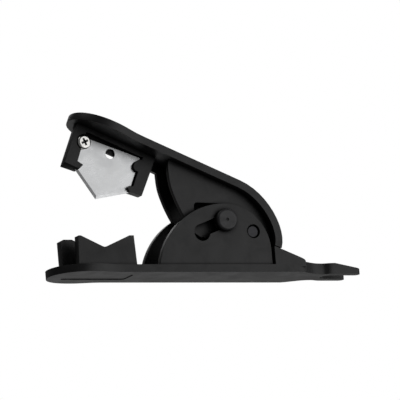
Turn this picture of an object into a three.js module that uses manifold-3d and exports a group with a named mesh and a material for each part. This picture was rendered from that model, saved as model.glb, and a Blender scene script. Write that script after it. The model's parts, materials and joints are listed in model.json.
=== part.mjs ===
// Hand-held cutter for soft tube: a V cradle and two cheeks on the lower handle, a pentagonal
// blade under the upper handle, a torsion spring that holds it open, a sliding lock button, and
// a fork at the tail that pushes back the collar of a push-fit tube fitting.
// Millimetres, +Z up, X along the tool with the fork at +X, lock button on the -Y side.

import * as THREE from 'three';
import { mergeVertices } from 'three/addons/utils/BufferGeometryUtils.js';
import Module from 'manifold-3d';

const wasm = await Module();
wasm.setup();

// ---- driving dimensions ----

const CENTRE_SHIFT = 0.45;            // moves the middle of the length onto the origin
const FRONT_TIP = -67.95;             // tips of both paddles
const TAIL_TIP = 67.05;               // tip of the near prong of the fork
const FAR_PRONG_TIP = 64.9;
const GRIP_HALF_WIDTH = 11;
const PADDLE_HALF_WIDTH = 13.1;
const PADDLE_WIDEST = -53.5;
const PADDLE_END = -39;
const UPPER_PADDLE_SHIFT = 1.9;       // the upper paddle stands back from the lower one
const GRIP_THICKNESS = 3.2;

const PIVOT = new THREE.Vector2(19.7, 16.9);
const PIN_RADIUS = 2.4;
const PIN_GAP = 0.2;
const OPEN_ANGLE = THREE.MathUtils.degToRad(23.7);

const CHEEK_OUTER = 10;
const CHEEK_INNER = 7.2;
const WEB_OUTER = 6.8;
const WEB_INNER = 4.6;

const CRADLE_NEAR = 2.7;              // half of the blade slot between the cradle plates
const CRADLE_FAR = 6.3;
const CRADLE_TOP = 16.0;
const CRADLE_BOTTOM = new THREE.Vector2(-44.9, 11.3);
const CRADLE_BACK = -31.7;
const CRADLE_FRONT_NEAR = -56.3;
const CRADLE_FRONT_FAR = -60.2;

const UPPER_TOP = 34.05;              // outer face of the upper grip with the tool closed
const UPPER_THICKNESS = 3.05;
const UPPER_UNDER = UPPER_TOP - UPPER_THICKNESS;

const LEG_HALF_WIDTH = 1.9;
const NUT_FLOOR = 1.0;                // bottom of the nut's pocket in the back of the front leg
const BLADE_HALF_THICKNESS = 0.35;
const BLADE_TOP = 28.8;
const BLADE_MIDDLE = -45.2;
const BLADE_HALF_WIDTH = 12.6;
const BLADE_SHOULDER = 13.2;
const BLADE_TIP = 5.0;
const NOTCH_HEIGHT = 24.7;
const NOTCH_RADIUS = 2.35;
const FRONT_NOTCH = new THREE.Vector2(BLADE_MIDDLE - BLADE_HALF_WIDTH, NOTCH_HEIGHT);
const REAR_NOTCH = new THREE.Vector2(BLADE_MIDDLE + BLADE_HALF_WIDTH, NOTCH_HEIGHT);
const BLADE_HOLE = new THREE.Vector2(BLADE_MIDDLE, 25.2);
const BLADE_HOLE_RADIUS = 2.05;

const SCREW_HEAD_RADIUS = 2.95;
const SCREW_HEAD_HEIGHT = 1.9;
const SCREW_SHANK_RADIUS = 1.45;
const NUT_RADIUS = 3.1;               // across the corners of the hexagon, halved
const NUT_HEIGHT = 1.6;

const LOCK_REST = new THREE.Vector2(7.45, 21.3);
const LOCK_SLID = new THREE.Vector2(-3.75, 17.0);
const LOCK_STEM_RADIUS = 2.35;
const LOCK_SLOT_RADIUS = 2.65;
const LOCK_STEM_DEPTH = 1.2;          // how far the stem reaches into the web wall

const CLEARANCE = 0.3;                // between pieces that meet
const THROUGH = 1;                    // how far a cutting solid runs past a face
const SEGMENTS = 32;                  // sides of a full circle

// ---- finishes ----

const finish = (color, roughness, metalness) =>
  new THREE.MeshStandardMaterial({ color, roughness, metalness });
const BLACK_PLASTIC = finish(0x2b2b2b, 0.5, 0);
const BLACK_STEEL = finish(0x242424, 0.45, 0.8);
const BRUSHED_STEEL = finish(0xc4c4c4, 0.35, 1);
const BRIGHT_STEEL = finish(0xe0e0e0, 0.15, 1);
const SPRING_STEEL = finish(0x8a8a88, 0.35, 1);
const SLEEVE_PLASTIC = finish(0x3a3a3a, 0.6, 0);

// ---- solids ----

// A closed geometry becomes a manifold-3d solid.
function solid(geometry) {
  const bare = geometry.clone();
  bare.deleteAttribute('normal');
  bare.deleteAttribute('uv');
  const merged = mergeVertices(bare, 1e-4);
  return new wasm.Manifold(new wasm.Mesh({
    numProp: 3,
    vertProperties: new Float32Array(merged.attributes.position.array),
    triVerts: new Uint32Array(merged.index.array),
  }));
}

// A manifold-3d solid becomes a geometry again.
function geometryOf(body) {
  const mesh = body.getMesh();
  const geometry = new THREE.BufferGeometry();
  geometry.setAttribute('position', new THREE.BufferAttribute(mesh.vertProperties, 3));
  geometry.setIndex(new THREE.BufferAttribute(mesh.triVerts, 1));
  return geometry;
}

// A shape drawn in X and Z becomes a solid between two Y values.
function plate(shape, yLow, yHigh, curveSegments = 12) {
  const geometry = new THREE.ExtrudeGeometry(shape, {
    depth: yHigh - yLow, bevelEnabled: false, curveSegments,
  });
  geometry.rotateX(Math.PI / 2);
  geometry.translate(0, yHigh, 0);
  return solid(geometry);
}

// A shape drawn in X and Y becomes a solid between two Z values.
function slab(shape, zLow, zHigh, curveSegments = 12) {
  const geometry = new THREE.ExtrudeGeometry(shape, {
    depth: zHigh - zLow, bevelEnabled: false, curveSegments,
  });
  geometry.translate(0, 0, zLow);
  return solid(geometry);
}

// A round bar along Y.
function bar(centre, radius, yLow, yHigh, sides = SEGMENTS) {
  const geometry = new THREE.CylinderGeometry(radius, radius, yHigh - yLow, sides);
  geometry.translate(centre.x, (yLow + yHigh) / 2, centre.y);
  return solid(geometry);
}

// A flat body with round corners, cut along Y: two centres make a slot, four a rounded window.
function roundedCutter(centres, radius, yLow, yHigh) {
  return wasm.Manifold.hull(centres.map((centre) => bar(centre, radius, yLow, yHigh)));
}

function box(xLow, xHigh, yLow, yHigh, zLow, zHigh) {
  const geometry = new THREE.BoxGeometry(xHigh - xLow, yHigh - yLow, zHigh - zLow);
  geometry.translate((xLow + xHigh) / 2, (yLow + yHigh) / 2, (zLow + zHigh) / 2);
  return solid(geometry);
}

function polygon(points) {
  return new THREE.Shape(points.map(([x, y]) => new THREE.Vector2(x, y)));
}

function mirrored(body) {
  return body.add(body.mirror([0, 1, 0]));
}

function named(name, body, material) {
  const mesh = new THREE.Mesh(body.isBufferGeometry ? body : geometryOf(body), material);
  mesh.name = name;
  return mesh;
}

// A point of the open tool as the upper handle sees it when drawn closed.
function asClosed(point) {
  return point.clone().rotateAround(PIVOT, OPEN_ANGLE);
}

// ---- lower handle ----

// The paddle's outline from the front tip to the straight grip, on the +Y side.
function paddleSide(shape, shift) {
  const tip = FRONT_TIP + shift;
  const widest = PADDLE_WIDEST + shift;
  const end = PADDLE_END + shift;
  shape.moveTo(tip, 0);
  shape.bezierCurveTo(tip, 7.2, widest - 9.1, PADDLE_HALF_WIDTH, widest, PADDLE_HALF_WIDTH);
  shape.bezierCurveTo(widest + 6, PADDLE_HALF_WIDTH, end - 6.5, GRIP_HALF_WIDTH, end, GRIP_HALF_WIDTH);
}

// Joins two half outlines, each with Y from 0 up and back to 0; the second one is mirrored.
function closedOutline(farHalf, nearHalf) {
  const far = farHalf.getPoints(14);
  const near = nearHalf.getPoints(14).slice(1, -1).reverse().map((p) => new THREE.Vector2(p.x, -p.y));
  return new THREE.Shape(far.concat(near));
}

// Half plan of the lower grip with its neck and one prong of the fork.
function lowerHalfPlan(prongTip) {
  const neckEnd = 50.3;
  const neck = 6.1;
  const forkOuter = 7.3;
  const forkInner = 3.5;
  const throat = 52;
  const prongMiddle = (forkOuter + forkInner) / 2;
  const prongRadius = (forkOuter - forkInner) / 2;
  const half = new THREE.Path();
  paddleSide(half, 0);
  half.lineTo(38.6, GRIP_HALF_WIDTH);
  half.bezierCurveTo(42, GRIP_HALF_WIDTH, 45, neck, neckEnd, neck);
  half.bezierCurveTo(52.4, neck, 52.6, forkOuter, 55.4, forkOuter);
  half.lineTo(prongTip - prongRadius, forkOuter);
  half.absarc(prongTip - prongRadius, prongMiddle, prongRadius, Math.PI / 2, -Math.PI / 2, true);
  half.lineTo(throat + forkInner, forkInner);
  half.absarc(throat + forkInner, 0, forkInner, Math.PI / 2, Math.PI, false);
  return half;
}

// Side view of the lower grip: flat, thicker behind the stop block, thinning to the fork's tips.
function lowerSide() {
  const neckThickness = 4.4;
  const tipThickness = 1.9;
  return polygon([
    [FRONT_TIP - THROUGH, 0], [TAIL_TIP + THROUGH, 0], [TAIL_TIP + THROUGH, tipThickness],
    [56, neckThickness], [41, neckThickness], [41, GRIP_THICKNESS],
    [FRONT_TIP - THROUGH, GRIP_THICKNESS],
  ]);
}

// Domed cheek: two arcs meeting at the top and an upright rear edge.
function cheekShape() {
  const top = new THREE.Vector2(7.7, 28.3);
  const frontRadius = 30.95;
  const rearRadius = 19.3;
  const root = GRIP_THICKNESS - THROUGH;
  const frontCentre = top.y - frontRadius;
  const frontStart = Math.PI - Math.asin((root - frontCentre) / frontRadius);
  const shape = new THREE.Shape();
  shape.absarc(top.x, frontCentre, frontRadius, frontStart, Math.PI / 2, true);
  shape.absarc(top.x, top.y - rearRadius, rearRadius, Math.PI / 2, 0, true);
  shape.lineTo(top.x + rearRadius, root);
  shape.closePath();
  return shape;
}

// The near cheek carries the lock slot, with a round end and a recess for the retaining ring.
function lockSlot() {
  const endHole = new THREE.Vector2(-2.95, 16.45);
  const endRadius = 3.5;
  const recessRadius = 4.1;
  const recessDepth = 1.0;
  const low = -CHEEK_OUTER - THROUGH;
  const high = -CHEEK_INNER + THROUGH;
  const slotEnds = [LOCK_REST, LOCK_SLID];
  return roundedCutter(slotEnds, LOCK_SLOT_RADIUS, low, high)
    .add(bar(endHole, endRadius, low, high))
    .add(roundedCutter(slotEnds, recessRadius, -CHEEK_INNER - recessDepth, high));
}

function cheeks() {
  const counterbore = 2.85;
  const counterboreDepth = 1.2;
  let pair = mirrored(plate(cheekShape(), CHEEK_INNER, CHEEK_OUTER, 20));
  const reach = CHEEK_OUTER + THROUGH;
  pair = pair.subtract(bar(PIVOT, PIN_RADIUS + PIN_GAP, -reach, reach));
  const recess = bar(PIVOT, counterbore, CHEEK_OUTER - counterboreDepth, reach);
  return pair.subtract(mirrored(recess)).subtract(lockSlot());
}

// Stop block behind the cheeks; the end of the upper handle rests on its slope.
function stopBlock() {
  const front = 28;
  const top = 10.5;
  const root = GRIP_THICKNESS - THROUGH;
  return plate(polygon([
    [front, root], [41.5, root], [41.3, 4.6], [40.9, 5.2], [39.6, 5.9], [front + 0.6, top],
    [front, top],
  ]), -GRIP_HALF_WIDTH, GRIP_HALF_WIDTH);
}

// One plate of the V cradle; the far plate is longer at the front and has a cut corner there.
function cradleShape(front, draft, cornerCut) {
  const root = GRIP_THICKNESS - THROUGH;
  const mouthFront = -55.1;
  const mouthBack = -33.6;
  const vRound = 0.9;
  const vLift = 0.25;
  const backDraft = 0.6;
  return polygon([
    [front - draft, root], [front, CRADLE_TOP - cornerCut / 2], [front + cornerCut, CRADLE_TOP],
    [mouthFront, CRADLE_TOP],
    [CRADLE_BOTTOM.x - vRound, CRADLE_BOTTOM.y + vLift],
    [CRADLE_BOTTOM.x, CRADLE_BOTTOM.y],
    [CRADLE_BOTTOM.x + vRound, CRADLE_BOTTOM.y + vLift],
    [mouthBack, CRADLE_TOP], [CRADLE_BACK, CRADLE_TOP], [CRADLE_BACK + backDraft, root],
  ]);
}

function lowerHandle() {
  const plan = closedOutline(lowerHalfPlan(FAR_PRONG_TIP), lowerHalfPlan(TAIL_TIP));
  const grip = slab(plan, 0, GRIP_THICKNESS + 2)
    .intersect(plate(lowerSide(), -PADDLE_HALF_WIDTH - THROUGH, PADDLE_HALF_WIDTH + THROUGH));
  const nearPlate = plate(cradleShape(CRADLE_FRONT_NEAR, 0.6, 0.2), -CRADLE_FAR, -CRADLE_NEAR);
  const farPlate = plate(cradleShape(CRADLE_FRONT_FAR, 0, 1.4), CRADLE_NEAR, CRADLE_FAR);
  return grip.add(cheeks()).add(stopBlock()).add(nearPlate).add(farPlate);
}

// ---- upper handle, drawn closed ----

// Plan of the upper grip: the same paddle and a straight strip behind it.
function upperPlan() {
  const back = 34;
  const half = new THREE.Path();
  paddleSide(half, UPPER_PADDLE_SHIFT);
  half.lineTo(back, GRIP_HALF_WIDTH);
  half.lineTo(back, 0);
  return closedOutline(half, half);
}

// Side view of the upper grip: flat, then bent down behind the pivot.
function upperSide() {
  const bend = new THREE.CubicBezierCurve(
    new THREE.Vector2(7.3, UPPER_TOP), new THREE.Vector2(20.5, UPPER_TOP),
    new THREE.Vector2(32.6, 23.2), new THREE.Vector2(33, 15.1),
  );
  const steps = 12;
  const outer = bend.getPoints(steps);
  const inner = outer.map((p, i) => {
    const tangent = bend.getTangent(i / steps);
    return new THREE.Vector2(p.x + tangent.y * UPPER_THICKNESS, p.y - tangent.x * UPPER_THICKNESS);
  });
  return new THREE.Shape([
    new THREE.Vector2(FRONT_TIP - THROUGH, UPPER_TOP), ...outer,
    ...inner.reverse(), new THREE.Vector2(FRONT_TIP - THROUGH, UPPER_UNDER),
  ]);
}

// Web wall: a long curve in front, a straight lower edge, and a round heel about the pivot.
function webShape() {
  const heel = 9.6;
  const heelStart = THREE.MathUtils.degToRad(-90);
  const heelEnd = THREE.MathUtils.degToRad(-14);
  const shape = new THREE.Shape();
  shape.moveTo(-23.2, UPPER_UNDER + THROUGH);
  shape.splineThru([
    new THREE.Vector2(-22.5, 28.6), new THREE.Vector2(-19.3, 22.2),
    new THREE.Vector2(-15.5, 17.5), new THREE.Vector2(-11.8, 13.9),
    new THREE.Vector2(-8.2, 11.0), new THREE.Vector2(-3.3, 7.9), new THREE.Vector2(1.6, 6.9),
  ]);
  shape.absarc(PIVOT.x, PIVOT.y, heel, heelStart, heelEnd, false);
  shape.lineTo(30.4, 15.8);
  shape.lineTo(25.5, 27);
  shape.lineTo(17, 32.2);
  shape.lineTo(8, UPPER_UNDER + THROUGH);
  return shape;
}

// Room in the near wall for the lock: the channel that the stem slides along when the tool is
// closed, the arc that it makes while the tool opens, and a shallow pocket on the slot's line
// when open, so that the button can still be pushed but has nothing to hold.
function lockWindow(low, high) {
  const arcSteps = 6;
  const corner = 1.6;
  const inset = LOCK_SLOT_RADIUS - corner;
  const along = LOCK_SLID.clone().sub(LOCK_REST).normalize().multiplyScalar(inset);
  const across = new THREE.Vector2(along.y, -along.x);
  const raised = across.clone().multiplyScalar((inset + CLEARANCE) / inset);
  const corners = [
    LOCK_REST.clone().sub(along).add(raised), LOCK_REST.clone().sub(along).sub(across),
    LOCK_SLID.clone().add(along).add(raised), LOCK_SLID.clone().add(along).sub(across),
  ];
  let window = roundedCutter(corners, corner, low, high);
  const arcPoint = (i) => {
    const angle = OPEN_ANGLE * (i / arcSteps - 1);
    return asClosed(LOCK_REST.clone().rotateAround(PIVOT, angle));
  };
  for (let i = 0; i < arcSteps; i += 1) {
    const ends = [arcPoint(i), arcPoint(i + 1)];
    window = window.add(roundedCutter(ends, LOCK_SLOT_RADIUS, low, high));
  }
  return window;
}

function lockPocket() {
  const floor = -WEB_OUTER + LOCK_STEM_DEPTH + CLEARANCE;
  const ends = [asClosed(LOCK_REST), asClosed(LOCK_SLID)];
  return roundedCutter(ends, LOCK_SLOT_RADIUS, -WEB_OUTER - THROUGH, floor);
}

function web() {
  const bossRadius = 4.6;
  const bossInner = 3.9;
  const reach = WEB_OUTER + THROUGH;
  const walls = mirrored(plate(webShape(), WEB_INNER, WEB_OUTER));
  const bosses = mirrored(bar(PIVOT, bossRadius, bossInner, WEB_INNER + THROUGH));
  const farRib = box(-31, -21, WEB_INNER, WEB_OUTER, 27.6, UPPER_UNDER + THROUGH);
  return walls.add(bosses).add(farRib)
    .subtract(bar(PIVOT, PIN_RADIUS + PIN_GAP, -reach, reach))
    .subtract(lockWindow(-reach, -WEB_INNER + THROUGH))
    .subtract(lockPocket());
}

// Hooked leg in front of the blade's front edge; its end is cut back on the near side.
function frontLeg() {
  const top = UPPER_UNDER + THROUGH;
  const leg = plate(polygon([
    [-63.0, top], [-63.0, 12.1], [-56.6, 12.7], [-55.2, 15.6], [-58.0, 16.1], [-58.3, top],
  ]), -LEG_HALF_WIDTH, LEG_HALF_WIDTH);
  return leg.trimByPlane([0, 0.4, 1], 11.8);
}

// Hooked leg behind the blade's rear edge, a little wider at the top.
function rearLeg() {
  const top = UPPER_UNDER + THROUGH;
  return plate(polygon([
    [-32.0, top], [-32.0, 16.4], [-32.4, 15.9], [-33.7, 15.7], [-34.3, 14.8],
    [-32.8, 13.3], [-27.4, 13.9], [-26.8, top],
  ]), -LEG_HALF_WIDTH, LEG_HALF_WIDTH);
}

// What holds the blade: two legs, a rib along its top edge, a wall and two strips behind it, a
// boss in its rear notch, and the slit that it slides into.
function bladeHolder() {
  const front = -61;
  const back = -29;
  const wallLow = 25.2;
  const stripLow = 16;
  const stripHigh = 26;
  const stripWidth = 2;
  const capCentre = new THREE.Vector2(-31.8, 25.4);
  const capRadius = 2.5;
  const reach = LEG_HALF_WIDTH + THROUGH;
  const slit = BLADE_HALF_THICKNESS + CLEARANCE;
  const rib = box(front, back, -LEG_HALF_WIDTH, LEG_HALF_WIDTH, BLADE_TOP + CLEARANCE,
    UPPER_UNDER + THROUGH);
  const backWall = box(front, back, slit, LEG_HALF_WIDTH, wallLow, UPPER_UNDER);
  const frontStrip = box(-59, -59 + stripWidth, slit, LEG_HALF_WIDTH, stripLow, stripHigh);
  const rearStrip = box(-32 - stripWidth, -32, slit, LEG_HALF_WIDTH, stripLow, stripHigh);
  const boss = bar(REAR_NOTCH, NOTCH_RADIUS - CLEARANCE, -LEG_HALF_WIDTH, LEG_HALF_WIDTH);
  const slot = plate(bladeOutline(CLEARANCE), -slit, slit);
  const bossCap = bar(capCentre, capRadius, -LEG_HALF_WIDTH, -slit);
  const seat = bar(FRONT_NOTCH, SCREW_HEAD_RADIUS + 0.35, -reach, -slit + THROUGH / 2);
  const screwHole = bar(FRONT_NOTCH, SCREW_SHANK_RADIUS + 0.35, -LEG_HALF_WIDTH, reach);
  const nutPocket = bar(FRONT_NOTCH, NUT_RADIUS + 0.4, NUT_FLOOR, reach, 6);
  return frontLeg().add(rearLeg()).add(rib).add(backWall).add(frontStrip).add(rearStrip).add(boss)
    .subtract(slot).add(bossCap).subtract(seat).subtract(screwHole).subtract(nutPocket);
}

function upperHandle() {
  const bendDepth = 20;
  const grip = slab(upperPlan(), UPPER_UNDER - bendDepth, UPPER_TOP + THROUGH)
    .intersect(plate(upperSide(), -PADDLE_HALF_WIDTH - THROUGH, PADDLE_HALF_WIDTH + THROUGH));
  return grip.add(web()).add(bladeHolder());
}

// ---- blade, its screw and nut, drawn closed ----

// The five-sided outline, grown by a margin, with a half-round notch on each side.
function bladeOutline(margin) {
  const half = BLADE_HALF_WIDTH + margin;
  const top = BLADE_TOP + margin;
  const notch = NOTCH_RADIUS - margin;
  const shape = new THREE.Shape();
  shape.moveTo(BLADE_MIDDLE - half, top);
  shape.absarc(BLADE_MIDDLE - half, NOTCH_HEIGHT, notch, Math.PI / 2, -Math.PI / 2, true);
  shape.lineTo(BLADE_MIDDLE - half, BLADE_SHOULDER);
  shape.lineTo(BLADE_MIDDLE, BLADE_TIP - margin);
  shape.lineTo(BLADE_MIDDLE + half, BLADE_SHOULDER);
  shape.absarc(BLADE_MIDDLE + half, NOTCH_HEIGHT, notch, -Math.PI / 2, -3 * Math.PI / 2, true);
  shape.lineTo(BLADE_MIDDLE + half, top);
  return shape;
}

function blade() {
  const hole = bar(BLADE_HOLE, BLADE_HOLE_RADIUS, -THROUGH, THROUGH);
  return plate(bladeOutline(0), -BLADE_HALF_THICKNESS, BLADE_HALF_THICKNESS).subtract(hole);
}

// Pan head and shank turned about the Y axis, with a cross recess.
function bladeScrew() {
  const seat = -BLADE_HALF_THICKNESS - CLEARANCE;
  const face = seat - SCREW_HEAD_HEIGHT;
  const tip = NUT_FLOOR + 2.2;
  const chamfer = 0.3;
  const recessWidth = 3.2;
  const recessDepth = 1.1;
  const recessSlot = 0.6;
  const profile = [
    [0, face], [1.5, face], [2.5, face + 0.45], [SCREW_HEAD_RADIUS, seat - 0.7],
    [SCREW_HEAD_RADIUS, seat], [SCREW_SHANK_RADIUS, seat], [SCREW_SHANK_RADIUS, tip - chamfer],
    [SCREW_SHANK_RADIUS - chamfer, tip], [0, tip],
  ].map(([radius, y]) => new THREE.Vector2(radius, y));
  const turned = new THREE.LatheGeometry(profile, SEGMENTS);
  turned.translate(FRONT_NOTCH.x, 0, FRONT_NOTCH.y);
  let screw = solid(turned);
  for (const angle of [0, Math.PI / 2]) {
    const arm = new THREE.BoxGeometry(recessWidth, 2 * recessDepth, recessSlot);
    arm.rotateY(angle + Math.PI / 5);
    arm.translate(FRONT_NOTCH.x, face, FRONT_NOTCH.y);
    screw = screw.subtract(solid(arm));
  }
  return screw;
}

function bladeNut() {
  const boreRadius = SCREW_SHANK_RADIUS + 0.25;
  const low = NUT_FLOOR + CLEARANCE;
  const high = low + NUT_HEIGHT;
  return bar(FRONT_NOTCH, NUT_RADIUS, low, high, 6)
    .subtract(bar(FRONT_NOTCH, boreRadius, low - THROUGH, high + THROUGH));
}

// ---- pivot and spring ----

function pivotPin() {
  const end = CHEEK_OUTER - 0.7;
  const chamfer = 0.3;
  const profile = [
    [0, -end], [PIN_RADIUS - chamfer, -end], [PIN_RADIUS, -end + chamfer],
    [PIN_RADIUS, end - chamfer], [PIN_RADIUS - chamfer, end], [0, end],
  ].map(([radius, y]) => new THREE.Vector2(radius, y));
  const turned = new THREE.LatheGeometry(profile, SEGMENTS);
  turned.translate(PIVOT.x, 0, PIVOT.y);
  return solid(turned);
}

function springSleeve() {
  const half = 3.6;
  const radius = 3.3;
  const bore = bar(PIVOT, PIN_RADIUS + PIN_GAP, -half - THROUGH, half + THROUGH);
  return bar(PIVOT, radius, -half, half).subtract(bore);
}

// Torsion spring of round wire: one leg down to the floor of the lower handle, four turns
// around the sleeve, and one leg up under the grip of the upper handle.
function returnSpring() {
  const wire = 0.55;
  const coil = 4.35;
  const turns = 4;
  const halfWidth = 2.7;
  const lowerEnd = new THREE.Vector3(1.5, -halfWidth, GRIP_THICKNESS + wire + CLEARANCE);
  const upperEnd = new THREE.Vector3(8.2, halfWidth, 34.6);
  const stepsPerTurn = 12;
  const startAngle = THREE.MathUtils.degToRad(-110);
  const endAngle = THREE.MathUtils.degToRad(66) + turns * 2 * Math.PI;
  const steps = Math.round((turns + 0.5) * stepsPerTurn);
  const points = [lowerEnd];
  for (let i = 0; i <= steps; i += 1) {
    const part = i / steps;
    const angle = startAngle + (endAngle - startAngle) * part;
    points.push(new THREE.Vector3(
      PIVOT.x + coil * Math.cos(angle), -halfWidth + 2 * halfWidth * part,
      PIVOT.y + coil * Math.sin(angle),
    ));
  }
  points.push(upperEnd);
  const round = new THREE.Shape();
  round.absarc(0, 0, wire, 0, 2 * Math.PI, false);
  return new THREE.ExtrudeGeometry(round, {
    steps: 90, bevelEnabled: false, extrudePath: new THREE.CatmullRomCurve3(points), curveSegments: 6,
  });
}

// ---- lock ----

function lockButton() {
  const headRadius = 4.5;
  const faceRadius = 3.3;
  const headLow = -CHEEK_OUTER - CLEARANCE;
  const headTop = headLow - 2.4;
  const keyEnd = -WEB_OUTER + LOCK_STEM_DEPTH;
  const profile = [
    [0, headTop], [faceRadius, headTop], [headRadius, headTop + 1.0], [headRadius, headLow],
    [LOCK_STEM_RADIUS, headLow], [LOCK_STEM_RADIUS, keyEnd], [0, keyEnd],
  ].map(([radius, y]) => new THREE.Vector2(radius, y));
  const turned = new THREE.LatheGeometry(profile, SEGMENTS);
  turned.translate(LOCK_REST.x, 0, LOCK_REST.y);
  const grooveLow = -CHEEK_INNER - 0.8;
  const grooveHigh = -CHEEK_INNER - 0.1;
  const groove = bar(LOCK_REST, 3, grooveLow, grooveHigh)
    .subtract(bar(LOCK_REST, 1.8, grooveLow - THROUGH, grooveHigh + THROUGH));
  const dimple = bar(LOCK_REST, 0.5, headTop - THROUGH, headTop + 0.6, 12);
  return solid(turned).subtract(groove).subtract(dimple);
}

// Split ring that snaps into the stem's groove and runs in the recess behind the slot.
function lockRetainer() {
  const low = -CHEEK_INNER - 0.65;
  const high = -CHEEK_INNER - 0.25;
  const mouth = new THREE.BoxGeometry(3, 2, 2.6);
  mouth.translate(LOCK_REST.x, (low + high) / 2, LOCK_REST.y - 3);
  return bar(LOCK_REST, 3.7, low, high)
    .subtract(bar(LOCK_REST, 2.0, low - THROUGH, high + THROUGH))
    .subtract(solid(mouth));
}

// ---- assembly ----

const cutter = new THREE.Group();
cutter.position.x = CENTRE_SHIFT;
cutter.add(
  named('lower_handle', lowerHandle(), BLACK_PLASTIC),
  named('pivot_pin', pivotPin(), BLACK_STEEL),
  named('spring_sleeve', springSleeve(), SLEEVE_PLASTIC),
  named('return_spring', returnSpring(), SPRING_STEEL),
  named('lock_button', lockButton(), BLACK_PLASTIC),
  named('lock_retainer', lockRetainer(), SPRING_STEEL),
);

// The upper handle and what it carries are drawn closed and turned open about the pivot.
const jaw = new THREE.Group();
jaw.position.set(PIVOT.x, 0, PIVOT.y);
jaw.rotation.y = OPEN_ANGLE;
const jawParts = new THREE.Group();
jawParts.position.set(-PIVOT.x, 0, -PIVOT.y);
jawParts.add(
  named('upper_handle', upperHandle(), BLACK_PLASTIC),
  named('blade', blade(), BRUSHED_STEEL),
  named('blade_screw', bladeScrew(), BRIGHT_STEEL),
  named('blade_nut', bladeNut(), SPRING_STEEL),
);
jaw.add(jawParts);
cutter.add(jaw);

export default cutter;
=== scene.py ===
"""Looks of a hand-held tube cutter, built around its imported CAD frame.

Every piece is modelled in metres in the frame's own axes: +Z up, X along the tool with the
fork at +X, and the lock button on the -Y side.
"""

import json
import math

import bmesh
import bpy
from mathutils import Matrix, Quaternion, Vector

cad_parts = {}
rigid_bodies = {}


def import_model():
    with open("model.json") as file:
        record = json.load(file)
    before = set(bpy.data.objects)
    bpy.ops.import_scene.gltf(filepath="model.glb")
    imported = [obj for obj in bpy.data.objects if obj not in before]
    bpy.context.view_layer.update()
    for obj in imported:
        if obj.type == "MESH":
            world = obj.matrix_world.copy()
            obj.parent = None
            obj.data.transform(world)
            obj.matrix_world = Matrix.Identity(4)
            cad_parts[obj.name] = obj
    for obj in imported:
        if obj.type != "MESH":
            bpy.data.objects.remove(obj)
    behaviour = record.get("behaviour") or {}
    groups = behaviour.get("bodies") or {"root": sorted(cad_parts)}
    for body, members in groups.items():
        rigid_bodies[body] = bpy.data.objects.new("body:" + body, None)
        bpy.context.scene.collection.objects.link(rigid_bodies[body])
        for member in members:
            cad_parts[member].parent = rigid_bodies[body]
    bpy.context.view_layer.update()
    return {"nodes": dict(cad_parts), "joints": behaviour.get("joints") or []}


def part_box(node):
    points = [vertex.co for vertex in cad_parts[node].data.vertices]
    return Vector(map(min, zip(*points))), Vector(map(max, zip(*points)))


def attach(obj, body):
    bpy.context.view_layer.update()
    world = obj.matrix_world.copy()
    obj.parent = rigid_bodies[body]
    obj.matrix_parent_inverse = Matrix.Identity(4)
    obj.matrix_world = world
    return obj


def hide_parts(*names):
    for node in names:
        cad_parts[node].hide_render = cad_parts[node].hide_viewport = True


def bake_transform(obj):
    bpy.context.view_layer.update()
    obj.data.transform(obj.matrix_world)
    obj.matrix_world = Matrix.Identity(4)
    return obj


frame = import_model()

bl_info = {
    "name": "Tube Cutter Looks",
    "version": (1, 0, 0),
    "blender": (4, 5, 0),
    "location": "View3D > Sidebar > Tube Cutter",
    "description": "Models the pieces of a hand-held tube cutter around its CAD frame",
    "category": "Object",
}

MM = 0.001
JAW = next(joint for joint in frame["joints"] if joint["name"] == "jaw_pivot")
PIVOT = Vector(JAW["pos_m"])
OPEN_ANGLE = math.radians(JAW["range_deg"][1])
PER_MM = 1000  # turns metres into millimetres in a pattern
FLAT_ENOUGH = 0.9999  # cosine of the tilt under which a face counts as one of the flat ones


def linear(hex_colour):
    """An sRGB hex colour as linear red, green and blue."""
    channels = [int(hex_colour[i : i + 2], 16) / 255 for i in (1, 3, 5)]
    return tuple(c / 12.92 if c <= 0.04045 else ((c + 0.055) / 1.055) ** 2.4 for c in channels)


# ---- sizes and colours that a user would change ----


class CutterSizes(bpy.types.PropertyGroup):
    handle_rounding: bpy.props.FloatProperty(
        name="Handle rounding",
        description="Radius on the outer edges of both mouldings",
        default=0.35 * MM,
        unit="LENGTH",
    )
    recess_depth: bpy.props.FloatProperty(
        name="Recess depth",
        description="Depth of the panel sunk into the underside of the lower paddle",
        default=0.3 * MM,
        unit="LENGTH",
    )
    bevel_width: bpy.props.FloatProperty(
        name="Cutting bevel",
        description="Width of the ground bevel along the cutting edges",
        default=1.1 * MM,
        unit="LENGTH",
    )
    head_radius: bpy.props.FloatProperty(
        name="Screw head radius",
        description="Radius of the cross-head screw that holds the blade",
        default=2.95 * MM,
        unit="LENGTH",
    )
    knob_radius: bpy.props.FloatProperty(
        name="Knob radius",
        description="Radius of the lock button",
        default=4.5 * MM,
        unit="LENGTH",
    )
    wire_radius: bpy.props.FloatProperty(
        name="Wire radius",
        description="Radius of the return spring's wire",
        default=0.5 * MM,
        unit="LENGTH",
    )


class CutterColours(bpy.types.PropertyGroup):
    nylon: bpy.props.FloatVectorProperty(
        name="Nylon",
        description="Body colour of the black moulded nylon",
        default=linear("#101011"),
        subtype="COLOR",
    )
    steel: bpy.props.FloatVectorProperty(
        name="Steel",
        description="Colour of the ground blade steel",
        default=linear("#d2d3d4"),
        subtype="COLOR",
    )
    nickel: bpy.props.FloatVectorProperty(
        name="Nickel",
        description="Colour of the plated screw",
        default=linear("#e4e3e0"),
        subtype="COLOR",
    )


# ---- small helpers ----


def only(*objects):
    """Selects these objects and nothing else; the first one becomes active."""
    bpy.ops.object.select_all(action="DESELECT")
    for obj in objects:
        obj.select_set(True)
    bpy.context.view_layer.objects.active = objects[0]


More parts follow.
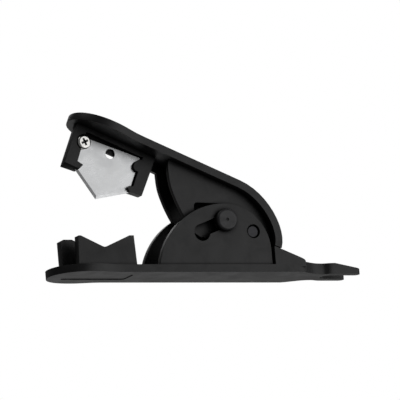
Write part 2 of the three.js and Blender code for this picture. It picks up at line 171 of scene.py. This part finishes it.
def pick(obj, part, test):
    """In edit mode, selects the vertices, edges or faces that pass the test and no others."""
    bpy.context.tool_settings.mesh_select_mode = (part == "verts", part == "edges", part == "faces")
    bpy.ops.mesh.select_all(action="DESELECT")
    mesh = bmesh.from_edit_mesh(obj.data)
    found = [item for item in getattr(mesh, part) if test(item)]
    if not found:
        raise RuntimeError(f"{obj.name}: no {part} pass the test")
    for item in found:
        item.select = True
    mesh.select_flush_mode()
    bmesh.update_edit_mesh(obj.data)


def is_outer_corner(edge):
    """True for an edge that folds outwards by enough to be a corner of the moulding."""
    least = 30
    if not edge.is_manifold or len(edge.link_faces) != 2:
        return False
    return math.degrees(edge.calc_face_angle_signed(0)) >= least


def spans_front(y):
    """A test for the edges that lie in the front face of a bar whose front is at this Y."""
    return lambda edge: all(vertex.co.y < y + 0.01 * MM for vertex in edge.verts)


def closed(point):
    """A point of the open jaw, turned back to where the closed tool has it."""
    return Matrix.Rotation(-OPEN_ANGLE, 3, "Y") @ (Vector(point) - PIVOT) + PIVOT


def opened(point):
    """A point of the closed jaw, turned open about the pivot."""
    return Matrix.Rotation(OPEN_ANGLE, 3, "Y") @ (Vector(point) - PIVOT) + PIVOT


def copy_of(node, name):
    """A copy of a CAD node with its loose triangles merged and its flat faces made whole."""
    only(frame["nodes"][node])
    bpy.ops.object.duplicate()
    piece = bpy.context.active_object
    bpy.ops.object.parent_clear(type="CLEAR_KEEP_TRANSFORM")
    piece.name = name
    piece.data.name = name
    for key in list(piece.keys()):
        del piece[key]
    bpy.ops.object.mode_set(mode="EDIT")
    bpy.ops.mesh.select_all(action="SELECT")
    bpy.ops.mesh.customdata_custom_splitnormals_clear()
    bpy.ops.mesh.remove_doubles(threshold=0.002 * MM)
    bpy.ops.mesh.dissolve_limited(angle_limit=math.radians(0.6))
    bpy.ops.object.mode_set(mode="OBJECT")
    return piece


def round_edges(piece, width, test, segments=3):
    """Rounds the edges that pass the test and marks the new faces, which the plastic paints paler:
    partly wear from use, partly a painted highlight.
    """
    only(piece)
    if "rubbed" not in piece.data.attributes:
        piece.data.attributes.new("rubbed", "FLOAT", "FACE")
    bpy.ops.object.mode_set(mode="EDIT")
    pick(piece, "edges", test)
    bpy.ops.mesh.bevel(
        offset=width, segments=segments, profile=0.5, affect="EDGES", clamp_overlap=True
    )
    bpy.ops.object.mode_set(mode="OBJECT")
    marks = piece.data.attributes["rubbed"].data
    for face in piece.data.polygons:
        if face.select:
            marks[face.index].value = 1.0


def apply_modifier(piece, kind, **settings):
    """Adds a modifier with these settings and applies it."""
    only(piece)
    modifier = piece.modifiers.new(kind.title(), kind)
    for name, value in settings.items():
        setattr(modifier, name, value)
    bpy.ops.object.modifier_apply(modifier=modifier.name)


def cut(piece, tool, operation="DIFFERENCE"):
    """Takes the tool's shape out of the piece, or adds it, and deletes the tool."""
    apply_modifier(piece, "BOOLEAN", operation=operation, object=tool, solver="EXACT")
    bpy.data.objects.remove(tool)


def set_place(piece):
    """Writes the object's place, turn and scale into its mesh."""
    only(piece)
    bpy.ops.object.transform_apply(location=True, rotation=True, scale=True)


def round_bar(name, radius, y_low, y_high, centre, vertices=64):
    """A round bar along Y at a centre in X and Z."""
    bpy.ops.object.select_all(action="DESELECT")
    bpy.ops.mesh.primitive_cylinder_add(
        vertices=vertices,
        radius=radius,
        depth=y_high - y_low,
        location=(centre.x, (y_low + y_high) / 2, centre.z),
        rotation=(math.pi / 2, 0, 0),
    )
    piece = bpy.context.active_object
    piece.name = name
    piece.data.name = name
    set_place(piece)
    return piece


def block(name, low, high):
    """A box between two opposite corners."""
    bpy.ops.object.select_all(action="DESELECT")
    low, high = Vector(low), Vector(high)
    bpy.ops.mesh.primitive_cube_add(size=1, location=(low + high) / 2)
    piece = bpy.context.active_object
    piece.scale = high - low
    piece.name = name
    piece.data.name = name
    set_place(piece)
    return piece


def is_flat(normal):
    """True for the directions of the tool's large flat faces, on either handle."""
    turned = Matrix.Rotation(-OPEN_ANGLE, 3, "Y") @ normal
    return max(abs(normal.y), abs(normal.z), abs(turned.z)) > FLAT_ENOUGH


def clean_up(piece, angle=32, flat=True):
    """Merges doubles, points the faces outwards, shades rounded faces smooth and flat ones flat."""
    only(piece)
    bpy.ops.object.mode_set(mode="EDIT")
    bpy.ops.mesh.select_all(action="SELECT")
    bpy.ops.mesh.remove_doubles(threshold=0.001 * MM)
    bpy.ops.mesh.normals_make_consistent(inside=False)
    bpy.ops.object.mode_set(mode="OBJECT")
    bpy.ops.object.shade_smooth_by_angle(angle=math.radians(angle))
    if flat:
        bpy.ops.object.mode_set(mode="EDIT")
        pick(piece, "faces", lambda f: is_flat(f.normal))
        bpy.ops.mesh.faces_shade_flat()
        bpy.ops.object.mode_set(mode="OBJECT")


def finished(piece, body, cad_node, material):
    """Gives a piece its material and the body it rides on, and hides the CAD node it stands for."""
    piece.data.materials.clear()
    piece.data.materials.append(material)
    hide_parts(cad_node)
    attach(piece, body)


# ---- materials ----


def node(tree, kind, settings=(), links=()):
    """Adds a node, sets its properties or unlinked sockets, and links its inputs."""
    made = tree.nodes.new(kind)
    for name, value in dict(settings).items():
        if isinstance(name, int) or name in made.inputs:
            made.inputs[name].default_value = value
        else:
            setattr(made, name, value)
    for name, source in dict(links).items():
        tree.links.new(source, made.inputs[name])
    return made


def new_material(name):
    """An empty material and its node tree."""
    material = bpy.data.materials.new(name)
    material.use_nodes = True
    material.node_tree.nodes.clear()
    return material, material.node_tree


def moulded_plastic(name, colour, rough, grain_mm, grain_depth_mm, wear_and_highlight_amount):
    """Dark engineering plastic from a spark-eroded mould: a satin face with a fine even grain,
    faint flow marks, painted shade that takes the shine off the creases, and edges painted a
    little paler, partly as wear where hands reach them and partly as a painted highlight."""
    material, tree = new_material(name)
    flow_mm = 9.0
    crease_reach = 2.6 * MM
    paler = tuple(1.35 * channel for channel in colour)
    place = node(tree, "ShaderNodeTexCoord")
    scaled = node(
        tree,
        "ShaderNodeMapping",
        {"Scale": (PER_MM, PER_MM, PER_MM)},
        {"Vector": place.outputs["Object"]},
    )
    grain = node(
        tree,
        "ShaderNodeTexNoise",
        {"Scale": 1 / grain_mm, "Detail": 3.0, "Roughness": 0.6},
        {"Vector": scaled.outputs[0]},
    )
    flow = node(
        tree,
        "ShaderNodeTexNoise",
        {"Scale": 1 / flow_mm, "Detail": 2.0, "Distortion": 0.8},
        {"Vector": scaled.outputs[0]},
    )
    # Rounded edges painted paler: partly wear, partly a painted highlight.
    edge = node(tree, "ShaderNodeAttribute", {"attribute_name": "rubbed"})
    patchy = node(
        tree,
        "ShaderNodeMapRange",
        {"From Min": 0.35, "From Max": 0.7, "To Min": 0.25, "To Max": 1.0},
        {"Value": flow.outputs["Fac"]},
    )
    rubbed = node(
        tree,
        "ShaderNodeMath",
        {"operation": "MULTIPLY"},
        {0: edge.outputs["Fac"], 1: patchy.outputs[0]},
    )
    amount = node(
        tree, "ShaderNodeMath", {"operation": "MULTIPLY", 1: wear_and_highlight_amount}, {0: rubbed.outputs[0]}
    )
    base = node(
        tree,
        "ShaderNodeMix",
        {"data_type": "RGBA", 6: (*colour, 1), 7: (*paler, 1)},
        {0: flow.outputs["Fac"]},
    )
    # The pale edge colour: partly wear, partly a painted highlight.
    wear_and_highlight_colour = node(
        tree,
        "ShaderNodeMix",
        {"data_type": "RGBA", 7: (*linear("#57575a"), 1)},
        {0: amount.outputs[0], 6: base.outputs[2]},
    )
    gloss = node(
        tree,
        "ShaderNodeMapRange",
        {"From Min": 0.3, "From Max": 0.7, "To Min": rough - 0.05, "To Max": rough + 0.06},
        {"Value": flow.outputs["Fac"]},
    )
    bump = node(
        tree,
        "ShaderNodeBump",
        {"Strength": 0.35, "Distance": grain_depth_mm * MM},
        {"Height": grain.outputs["Fac"]},
    )
    # Painted shade: the plastic loses its shine close to an inner corner, where the crease falls
    # into shade.
    crease = node(
        tree, "ShaderNodeAmbientOcclusion", {"samples": 16, "Distance": crease_reach}
    )
    # Painted shade: the specular level drops to 0.06 deep in a crease.
    crease_shade = node(
        tree,
        "ShaderNodeMapRange",
        {"From Min": 0.5, "From Max": 0.92, "To Min": 0.06, "To Max": 0.5},
        {"Value": crease.outputs["AO"]},
    )
    even = node(
        tree,
        "ShaderNodeMapRange",
        {"From Min": 0.3, "From Max": 0.7, "To Min": 0.75, "To Max": 1.15},
        {"Value": flow.outputs["Fac"]},
    )
    sheen = node(
        tree,
        "ShaderNodeMath",
        {"operation": "MULTIPLY"},
        {0: crease_shade.outputs[0], 1: even.outputs[0]},
    )
    shader = node(
        tree,
        "ShaderNodeBsdfPrincipled",
        {"IOR": 1.46},
        {
            "Base Color": wear_and_highlight_colour.outputs[2],
            "Roughness": gloss.outputs[0],
            "Normal": bump.outputs[0],
            "Specular IOR Level": sheen.outputs[0],
        },
    )
    node(tree, "ShaderNodeOutputMaterial", {}, {"Surface": shader.outputs[0]})
    return material


def ground_steel(name, colour, rough, stretch, turn, scratch_mm):
    """Bright steel whose face was ground or drawn in one direction: fine parallel lines, with
    softer and sharper gloss from line to line and a few faint smears."""
    material, tree = new_material(name)
    smear_mm = 6.25
    darker = tuple(0.9 * channel for channel in colour)
    place = node(tree, "ShaderNodeTexCoord")
    turned = node(
        tree,
        "ShaderNodeMapping",
        {"Rotation": (0, turn, 0)},
        {"Vector": place.outputs["Object"]},
    )
    lines_at = node(
        tree,
        "ShaderNodeMapping",
        {"Scale": tuple(PER_MM * part for part in stretch)},
        {"Vector": turned.outputs[0]},
    )
    lines = node(
        tree,
        "ShaderNodeTexNoise",
        {"Scale": 1 / scratch_mm, "Detail": 2.0, "Roughness": 0.55},
        {"Vector": lines_at.outputs[0]},
    )
    smear = node(
        tree,
        "ShaderNodeTexNoise",
        {"Scale": PER_MM / smear_mm, "Detail": 2.0, "Distortion": 1.0},
        {"Vector": turned.outputs[0]},
    )
    tone = node(
        tree,
        "ShaderNodeMix",
        {"data_type": "RGBA", 6: (*darker, 1), 7: (*colour, 1)},
        {0: lines.outputs["Fac"]},
    )
    both = node(
        tree,
        "ShaderNodeMath",
        {"operation": "ADD"},
        {0: lines.outputs["Fac"], 1: smear.outputs["Fac"]},
    )
    gloss = node(
        tree,
        "ShaderNodeMapRange",
        {"From Min": 0.7, "From Max": 1.3, "To Min": rough - 0.06, "To Max": rough + 0.08},
        {"Value": both.outputs[0]},
    )
    bump = node(
        tree,
        "ShaderNodeBump",
        {"Strength": 0.12, "Distance": 0.01 * MM},
        {"Height": lines.outputs["Fac"]},
    )
    shader = node(
        tree,
        "ShaderNodeBsdfPrincipled",
        {"Metallic": 1.0},
        {
            "Base Color": tone.outputs[2],
            "Roughness": gloss.outputs[0],
            "Normal": bump.outputs[0],
        },
    )
    node(tree, "ShaderNodeOutputMaterial", {}, {"Surface": shader.outputs[0]})
    return material


MATERIALS = {}


def make_materials(colours):
    """Makes every finish of the tool, under the short name that the pieces ask for."""
    # The last column sets how much paler the rounded edges are painted: partly wear, partly a
    # painted highlight.
    plastics = {
        # Glass-filled nylon: deep black with a soft sheen. The grain is drawn coarser than the
        # real 0.1 mm so that it shows.
        "nylon": ("moulded_black_nylon", colours.nylon, 0.43, 0.45, 0.03, 0.15),
        # Acetal: slicker and smoother than the handles, so the button catches more light.
        "acetal": ("satin_black_acetal", linear("#101011"), 0.4, 0.6, 0.015, 0.35),
        # Dyed acetal: a plain grey spool that is hardly seen.
        "grey_acetal": ("moulded_grey_acetal", linear("#3b3c3e"), 0.5, 0.6, 0.02, 0.2),
    }
    for short, (name, colour, rough, grain, depth, wear_and_highlight_amount) in plastics.items():
        MATERIALS[short] = moulded_plastic(
            name, colour, rough=rough, grain_mm=grain, grain_depth_mm=depth, wear_and_highlight_amount=wear_and_highlight_amount
        )
    steels = {
        # Surface-ground tool steel: pale, with fine lines along the blade's top edge.
        "blade": ("ground_tool_steel", colours.steel, 0.3, (0.04, 1, 1), OPEN_ANGLE, 0.12),
        # Nickel plate over a cold-headed screw: almost white and quite sharp.
        "nickel": ("bright_nickel_plate", colours.nickel, 0.14, (0.3, 1, 1), 0, 0.3),
        # The punched cross: dull, and dark with painted shade.
        "recess": ("dull_screw_recess", linear("#505052"), 0.5, (1, 0.3, 1), 0, 0.3),
        # Zinc plate: slightly blue and softer than nickel.
        "zinc": ("bright_zinc_plate", linear("#b4bac2"), 0.3, (1, 0.3, 1), 0, 0.25),
        # Oil-blackened steel: nearly as dark as the plastic, with a metal's sheen.
        "oxide": ("black_oxide_steel", linear("#3a3a3c"), 0.38, (1, 0.1, 1), 0, 0.2),
        # Drawn spring wire: mid grey, with lines along the draw.
        "wire": ("drawn_spring_wire", linear("#8d8c88"), 0.3, (1, 1, 0.2), 0, 0.15),
    }
    for short, (name, colour, rough, stretch, turn, scratch) in steels.items():
        MATERIALS[short] = ground_steel(
            name, colour, rough=rough, stretch=stretch, turn=turn, scratch_mm=scratch
        )


# ---- pieces ----


class CUTTER_OT_lower_handle(bpy.types.Operator):
    """Rounds the lower moulding's edges and sinks the panel under its paddle"""

    bl_idname = "cutter.lower_handle"
    bl_label = "Lower Handle"

    def execute(self, context):
        sizes = context.scene.cutter_sizes
        panel_front, panel_back = -60.5 * MM, -32.0 * MM
        panel_half_width = 5.1 * MM
        panel_corner = 1.2 * MM
        clear = 1.0 * MM
        piece = copy_of("lower_handle", "lower_handle_moulding")
        panel = block(
            "panel_tool",
            (panel_front, -panel_half_width, -clear),
            (panel_back, panel_half_width, sizes.recess_depth),
        )

        def is_upright(edge):
            return abs((edge.verts[0].co - edge.verts[1].co).normalized().z) > 0.9

        round_edges(panel, panel_corner, is_upright)
        cut(piece, panel)
        round_edges(piece, sizes.handle_rounding, is_outer_corner)
        clean_up(piece)
        finished(piece, "base", "lower_handle", MATERIALS["nylon"])
        return {"FINISHED"}


class CUTTER_OT_upper_handle(bpy.types.Operator):
    """Rounds the outer edges of the upper moulding"""

    bl_idname = "cutter.upper_handle"
    bl_label = "Upper Handle"

    def execute(self, context):
        sizes = context.scene.cutter_sizes
        piece = copy_of("upper_handle", "upper_handle_moulding")
        round_edges(piece, sizes.handle_rounding, is_outer_corner)
        clean_up(piece)
        finished(piece, "jaw", "upper_handle", MATERIALS["nylon"])
        return {"FINISHED"}


def blade_corners(piece):
    """The tip of the blade and the two shoulders above it, seen with the jaw closed."""
    shoulder_height = 8.2 * MM
    points = [closed(vertex.co) for vertex in piece.data.vertices]
    tip = min(points, key=lambda p: p.z)
    level = [p for p in points if abs(p.z - (tip.z + shoulder_height)) < 0.3 * MM]
    return tip, [min(level, key=lambda p: p.x), max(level, key=lambda p: p.x)]


class CUTTER_OT_blade(bpy.types.Operator):
    """Grinds the two cutting edges of the blade to a fine bevel on both faces"""

    bl_idname = "cutter.blade"
    bl_label = "Blade"

    def execute(self, context):
        sizes = context.scene.cutter_sizes
        piece = copy_of("blade", "pointed_blade")
        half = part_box("blade")[1].y
        land = 0.06 * MM
        tip, shoulders = blade_corners(piece)
        only(piece)
        bpy.ops.object.mode_set(mode="EDIT")
        for shoulder in shoulders:
            along = tip - shoulder
            along.y = 0
            along.normalize()
            outward = Vector((along.z, 0, -along.x))
            if outward.z > 0:
                outward.negate()
            for side in (-1, 1):
                face_line = Vector((shoulder.x, side * half, shoulder.z))
                face_line -= outward * sizes.bevel_width
                edge_line = Vector((shoulder.x, side * land / 2, shoulder.z))
                normal = (edge_line - face_line).cross(along)
                if normal.dot(outward) < 0:
                    normal.negate()
                turned = Matrix.Rotation(OPEN_ANGLE, 3, "Y") @ normal
                bpy.ops.mesh.select_all(action="SELECT")
                bpy.ops.mesh.bisect(
                    plane_co=opened(face_line),
                    plane_no=turned.normalized(),
                    use_fill=True,
                    clear_outer=True,
                    clear_inner=False,
                    threshold=1e-7,
                )
        bpy.ops.object.mode_set(mode="OBJECT")
        clean_up(piece, angle=12, flat=False)
        finished(piece, "jaw", "blade", MATERIALS["blade"])
        return {"FINISHED"}


def recess_arm(centre, front, turn):
    """One arm of the cross recess, as a cutting tool that narrows towards its bottom."""
    reach, half_width, depth, clear = 1.9 * MM, 0.5 * MM, 1.2 * MM, 0.5 * MM
    arm = block(
        "arm_tool",
        (centre.x - reach, front - clear, centre.z - half_width),
        (centre.x + reach, front + depth, centre.z + half_width),
    )
    only(arm)
    bpy.ops.object.mode_set(mode="EDIT")
    pick(arm, "faces", lambda face: face.normal.y > 0.9)
    bpy.ops.transform.resize(value=(0.35, 1, 0.7))
    bpy.ops.mesh.select_all(action="SELECT")
    bpy.ops.transform.rotate(
        value=turn, orient_axis="Y", orient_type="GLOBAL", center_override=centre
    )
    bpy.ops.object.mode_set(mode="OBJECT")
    return arm


def darken_recess(piece, centre, front):
    """Gives the walls and the floor of the cross recess their own dull, dark material: painted
    shade.
    """
    least, most, reach = front + 0.03 * MM, front + 1.3 * MM, 1.7 * MM

    def in_recess(face):
        middle = face.calc_center_median()
        off_axis = math.hypot(middle.x - centre.x, middle.z - centre.z)
        return least < middle.y < most and off_axis < reach

    piece.data.materials.append(MATERIALS["recess"])
    only(piece)
    bpy.ops.object.mode_set(mode="EDIT")
    pick(piece, "faces", in_recess)
    piece.active_material_index = 1
    bpy.ops.object.material_slot_assign()
    bpy.ops.object.mode_set(mode="OBJECT")


class CUTTER_OT_blade_screw(bpy.types.Operator):
    """Models the domed cross-head screw and the nut behind it"""

    bl_idname = "cutter.blade_screw"
    bl_label = "Blade Screw and Nut"

    def execute(self, context):
        sizes = context.scene.cutter_sizes
        low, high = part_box("blade_screw")
        centre = (low + high) / 2
        head_back = low.y + 1.9 * MM
        dome, shank_radius, overlap, tip_chamfer = 0.8 * MM, 1.45 * MM, 0.3 * MM, 0.25 * MM
        cross_turn = 22
        piece = round_bar("cross_head_screw", sizes.head_radius, low.y, head_back, centre)
        round_edges(piece, dome, spans_front(low.y), segments=6)
        shank = round_bar(
            "shank_tool", shank_radius, head_back - overlap, high.y, centre, vertices=32
        )

        def is_tip(edge):
            return all(vertex.co.y > high.y - 0.01 * MM for vertex in edge.verts)

        round_edges(shank, tip_chamfer, is_tip, segments=1)
        cut(piece, shank, "UNION")
        for angle in (cross_turn, cross_turn + 90):
            cut(piece, recess_arm(centre, low.y, math.radians(angle)))
        clean_up(piece, angle=30)
        finished(piece, "jaw", "blade_screw", MATERIALS["nickel"])
        # Painted shade in the cross recess.
        darken_recess(piece, centre, low.y)

        nut = copy_of("blade_nut", "hexagon_nut")
        round_edges(nut, 0.15 * MM, is_outer_corner, segments=2)
        clean_up(nut, angle=35)
        finished(nut, "jaw", "blade_nut", MATERIALS["zinc"])
        return {"FINISHED"}


class CUTTER_OT_pivot(bpy.types.Operator):
    """Models the pivot pin, the spool on it and the torsion spring around the spool"""

    bl_idname = "cutter.pivot"
    bl_label = "Pivot and Spring"

    def execute(self, context):
        sizes = context.scene.cutter_sizes
        low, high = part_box("pivot_pin")
        centre = (low + high) / 2
        collar_radius, collar_low, collar_high = 3.0 * MM, 3.66 * MM, 3.84 * MM
        pin = round_bar("pivot_rivet", (high.x - low.x) / 2, low.y, high.y, centre)

        def is_rim(edge):
            at_end = min(abs(vertex.co.y) for vertex in edge.verts) > high.y - 0.01 * MM
            return at_end and is_outer_corner(edge)

        round_edges(pin, 0.3 * MM, is_rim)
        # An added thin collar between the spool's end and a web, so that no light shows
        # through the clearance round the pin.
        collar = round_bar("collar_tool", collar_radius, collar_low, collar_high, centre)
        cut(pin, collar, "UNION")
        clean_up(pin)
        finished(pin, "base", "pivot_pin", MATERIALS["oxide"])

        sleeve = copy_of("spring_sleeve", "spool_sleeve")
        round_edges(sleeve, 0.25 * MM, is_outer_corner, segments=2)
        clean_up(sleeve)
        finished(sleeve, "base", "spring_sleeve", MATERIALS["grey_acetal"])

        spring = torsion_spring("torsion_spring", sizes.wire_radius)
        spring.data.materials.append(MATERIALS["wire"])
        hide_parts("return_spring")
        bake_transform(spring)
        return {"FINISHED"}


def torsion_spring(name, wire):
    """Round wire: a straight leg on the floor, four turns round the spool, a leg under the grip."""
    low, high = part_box("return_spring")
    coil = 4.35 * MM
    turns = 4
    steps = 160
    half_width = (high.y - low.y) / 2 - wire
    start = math.radians(-110)
    end = math.radians(66) + turns * 2 * math.pi
    leg_end = PIVOT.x - 11.3 * MM

    def on_coil(part):
        angle = start + (end - start) * part
        return Vector(
            (
                PIVOT.x + coil * math.cos(angle),
                half_width * (2 * part - 1),
                PIVOT.z + coil * math.sin(angle),
            )
        )

    lower_tip = Vector((low.x + wire, -half_width, low.z + wire))
    upper_tip = Vector((leg_end, half_width, high.z - wire))
    points = [lower_tip, lower_tip.lerp(on_coil(0), 0.9)]
    points += [on_coil(step / steps) for step in range(steps + 1)]
    points += [points[-1].lerp(upper_tip, 0.1), upper_tip]
    curve = bpy.data.curves.new(name, "CURVE")
    curve.dimensions = "3D"
    spline = curve.splines.new("POLY")
    spline.points.add(len(points) - 1)
    for knot, point in zip(spline.points, points):
        knot.co = (*point, 1)
    curve.bevel_depth = wire
    curve.bevel_resolution = 3
    curve.use_fill_caps = True
    piece = bpy.data.objects.new(name, curve)
    bpy.context.scene.collection.objects.link(piece)
    only(piece)
    bpy.ops.object.convert(target="MESH")
    piece = bpy.context.active_object
    clean_up(piece, angle=50, flat=False)
    return piece


def draw_stem(knob, start, end, knob_radius):
    """Pulls a stem with a groove for the retaining ring out of the back of the knob."""
    stem, groove = 2.35 * MM, 1.85 * MM
    to_groove, step, groove_width = 2.8 * MM, 0.05 * MM, 0.6 * MM
    pick(knob, "faces", lambda face: face.normal.y > 0.99)
    bpy.ops.mesh.inset(thickness=knob_radius - stem, depth=0)
    reached = start
    lengths = (to_groove, step, groove_width, step)
    scales = (1, groove / stem, 1, stem / groove)
    for length, scale in zip(lengths, scales):
        bpy.ops.mesh.extrude_region_move(TRANSFORM_OT_translate={"value": (0, length, 0)})
        bpy.ops.transform.resize(value=(scale, 1, scale))
        reached += length
    bpy.ops.mesh.extrude_region_move(TRANSFORM_OT_translate={"value": (0, end - reached, 0)})


class CUTTER_OT_lock(bpy.types.Operator):
    """Models the lock button with its stem, and the ring that keeps it in the slot"""

    bl_idname = "cutter.lock"
    bl_label = "Lock Button"

    def execute(self, context):
        sizes = context.scene.cutter_sizes
        low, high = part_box("lock_button")
        centre = (low + high) / 2
        head_back = low.y + 2.4 * MM
        rim, dimple_slope, dimple_depth = 2.85 * MM, 0.2 * MM, 0.4 * MM
        knob = round_bar(
            "lock_knob", sizes.knob_radius, low.y, head_back, centre, vertices=72
        )
        round_edges(knob, 1.0 * MM, spans_front(low.y), segments=5)
        only(knob)
        bpy.ops.object.mode_set(mode="EDIT")
        pick(knob, "faces", lambda face: face.normal.y < -0.99)
        bpy.ops.mesh.inset(thickness=rim, depth=0)
        bpy.ops.mesh.inset(thickness=dimple_slope, depth=-dimple_depth)
        draw_stem(knob, head_back, high.y, sizes.knob_radius)
        bpy.ops.object.mode_set(mode="OBJECT")
        clean_up(knob)
        finished(knob, "lock", "lock_button", MATERIALS["acetal"])

        ring = copy_of("lock_retainer", "retaining_ring")
        round_edges(ring, 0.08 * MM, is_outer_corner, segments=2)
        clean_up(ring)
        finished(ring, "lock", "lock_retainer", MATERIALS["wire"])
        return {"FINISHED"}


# Name, direction from the tool, diameter, brightness and distance from the tool.
SOFTBOXES = (
    ("right_softbox", (0.70, -0.69, 0.17), 0.52, 1.0, 0.38),
    ("low_front_softbox", (0.25, -0.93, -0.26), 0.7, 0.8, 1.2),
    ("back_softbox", (0.18, 0.80, 0.58), 0.75, 1.15, 1.2),
    ("low_back_softbox", (0.22, 0.88, -0.42), 0.9, 0.36, 1.2),
    ("top_softbox", (-0.45, -0.05, 0.88), 0.8, 1.0, 1.2),
)


class CUTTER_OT_stage(bpy.types.Operator):
    """Adds the pale floor, the soft studio lights, the white surroundings and the camera"""

    bl_idname = "cutter.stage"
    bl_label = "Stage"

    def execute(self, context):
        add_floor(context)
        add_surroundings(context)
        for name, direction, size, brightness, distance in SOFTBOXES:
            add_softbox(name, direction, size, brightness, distance)
        add_camera(context)
        return {"FINISHED"}


def add_floor(context):
    """A wide floor of matt pale paper, so far below that it shows only in views from above."""
    side, drop = 40, 0.6
    bpy.ops.object.select_all(action="DESELECT")
    bpy.ops.mesh.primitive_plane_add(size=side, location=(0, 0, -drop))
    floor = context.active_object
    floor.name = "floor"
    set_place(floor)
    # Matt paper: near white, with a fine fibre that only just shows and a glow of its own that
    # keeps shadows pale.
    material, tree = new_material("matt_pale_paper")
    place = node(tree, "ShaderNodeTexCoord")
    fibre = node(
        tree,
        "ShaderNodeTexNoise",
        {"Scale": 900.0, "Detail": 2.0},
        {"Vector": place.outputs["Object"]},
    )
    tone = node(
        tree,
        "ShaderNodeMix",
        {"data_type": "RGBA", 6: (*linear("#e3e3e2"), 1), 7: (*linear("#e8e8e7"), 1)},
        {0: fibre.outputs["Fac"]},
    )
    shader = node(
        tree,
        "ShaderNodeBsdfPrincipled",
        {"Roughness": 0.9, "Specular IOR Level": 0.2, "Emission Strength": 0.55},
        {"Base Color": tone.outputs[2], "Emission Color": tone.outputs[2]},
    )
    node(tree, "ShaderNodeOutputMaterial", {}, {"Surface": shader.outputs[0]})
    floor.data.materials.append(material)
    floor.visible_glossy = floor.visible_diffuse = False


def add_surroundings(context):
    """White to the camera, and dim to everything else so that the softboxes shape the light."""
    seen, cast = 1.0, 0.1
    context.scene.view_settings.view_transform = "Standard"
    world = bpy.data.worlds.new("white_surroundings")
    context.scene.world = world
    world.use_nodes = True
    tree = world.node_tree
    tree.nodes.clear()
    ray = node(tree, "ShaderNodeLightPath")
    strength = node(
        tree,
        "ShaderNodeMapRange",
        {"To Min": cast, "To Max": seen},
        {"Value": ray.outputs["Is Camera Ray"]},
    )
    sky = node(
        tree,
        "ShaderNodeBackground",
        {"Color": (1, 1, 1, 1)},
        {"Strength": strength.outputs[0]},
    )
    node(tree, "ShaderNodeOutputWorld", {}, {"Surface": sky.outputs[0]})


def add_softbox(name, direction, size, brightness, distance):
    """A round softbox that looks this bright from anywhere in front of it."""
    bpy.ops.object.select_all(action="DESELECT")
    place = Vector(direction).normalized() * distance
    turn = (-place).to_track_quat("-Z", "Y").to_euler()
    bpy.ops.object.light_add(type="AREA", location=place, rotation=turn)
    light = bpy.context.active_object
    light.name = name
    light.data.shape = "DISK"
    light.data.size = size
    light.data.energy = brightness * math.pi * math.pi * (size / 2) ** 2
    light.visible_camera = False


def add_camera(context):
    """A camera with no convergence, a little below the base plane, rolled to keep it level."""
    azimuth, elevation, roll = (math.radians(a) for a in (-24.98, -10.26, 4.775))
    view_width = 161.0 * MM
    centre = Vector((0.45 * MM, 0, 32 * MM))
    shift = Vector((1.70 * MM, -0.28 * MM, 0))
    distance = 0.8
    back = Vector(
        (
            math.sin(azimuth) * math.cos(elevation),
            -math.cos(azimuth) * math.cos(elevation),
            math.sin(elevation),
        )
    )
    turn = Quaternion(back, -roll) @ (-back).to_track_quat("-Z", "Y")
    data = bpy.data.cameras.new("camera")
    data.type = "ORTHO"
    data.ortho_scale = view_width
    data.clip_start, data.clip_end = 0.01, 100
    camera = bpy.data.objects.new("camera", data)
    context.scene.collection.objects.link(camera)
    camera.rotation_mode = "QUATERNION"
    camera.rotation_quaternion = turn
    camera.location = centre + turn @ shift + back * distance
    context.scene.camera = camera


class CUTTER_PT_pieces(bpy.types.Panel):
    """Lists the pieces of the tube cutter and the sizes and colours they are made with"""

    bl_idname = "CUTTER_PT_pieces"
    bl_label = "Tube Cutter"
    bl_space_type = "VIEW_3D"
    bl_region_type = "UI"
    bl_category = "Tube Cutter"

    def draw(self, context):
        for operator in PIECE_OPERATORS:
            self.layout.operator(operator.bl_idname)
        for group in (context.scene.cutter_sizes, context.scene.cutter_colours):
            box = self.layout.box()
            for name in group.__annotations__:
                box.prop(group, name)


PIECE_OPERATORS = (
    CUTTER_OT_stage,
    CUTTER_OT_lower_handle,
    CUTTER_OT_upper_handle,
    CUTTER_OT_blade,
    CUTTER_OT_blade_screw,
    CUTTER_OT_pivot,
    CUTTER_OT_lock,
)
CLASSES = (CutterSizes, CutterColours, *PIECE_OPERATORS, CUTTER_PT_pieces)


def register():
    for cls in CLASSES:
        bpy.utils.register_class(cls)
    bpy.types.Scene.cutter_sizes = bpy.props.PointerProperty(type=CutterSizes)
    bpy.types.Scene.cutter_colours = bpy.props.PointerProperty(type=CutterColours)


def unregister():
    del bpy.types.Scene.cutter_colours
    del bpy.types.Scene.cutter_sizes
    for cls in reversed(CLASSES):
        bpy.utils.unregister_class(cls)


def main():
    register()
    make_materials(bpy.context.scene.cutter_colours)
    for operator in PIECE_OPERATORS:
        group, name = operator.bl_idname.split(".")
        getattr(getattr(bpy.ops, group), name)()


if __name__ == "__main__":
    main()
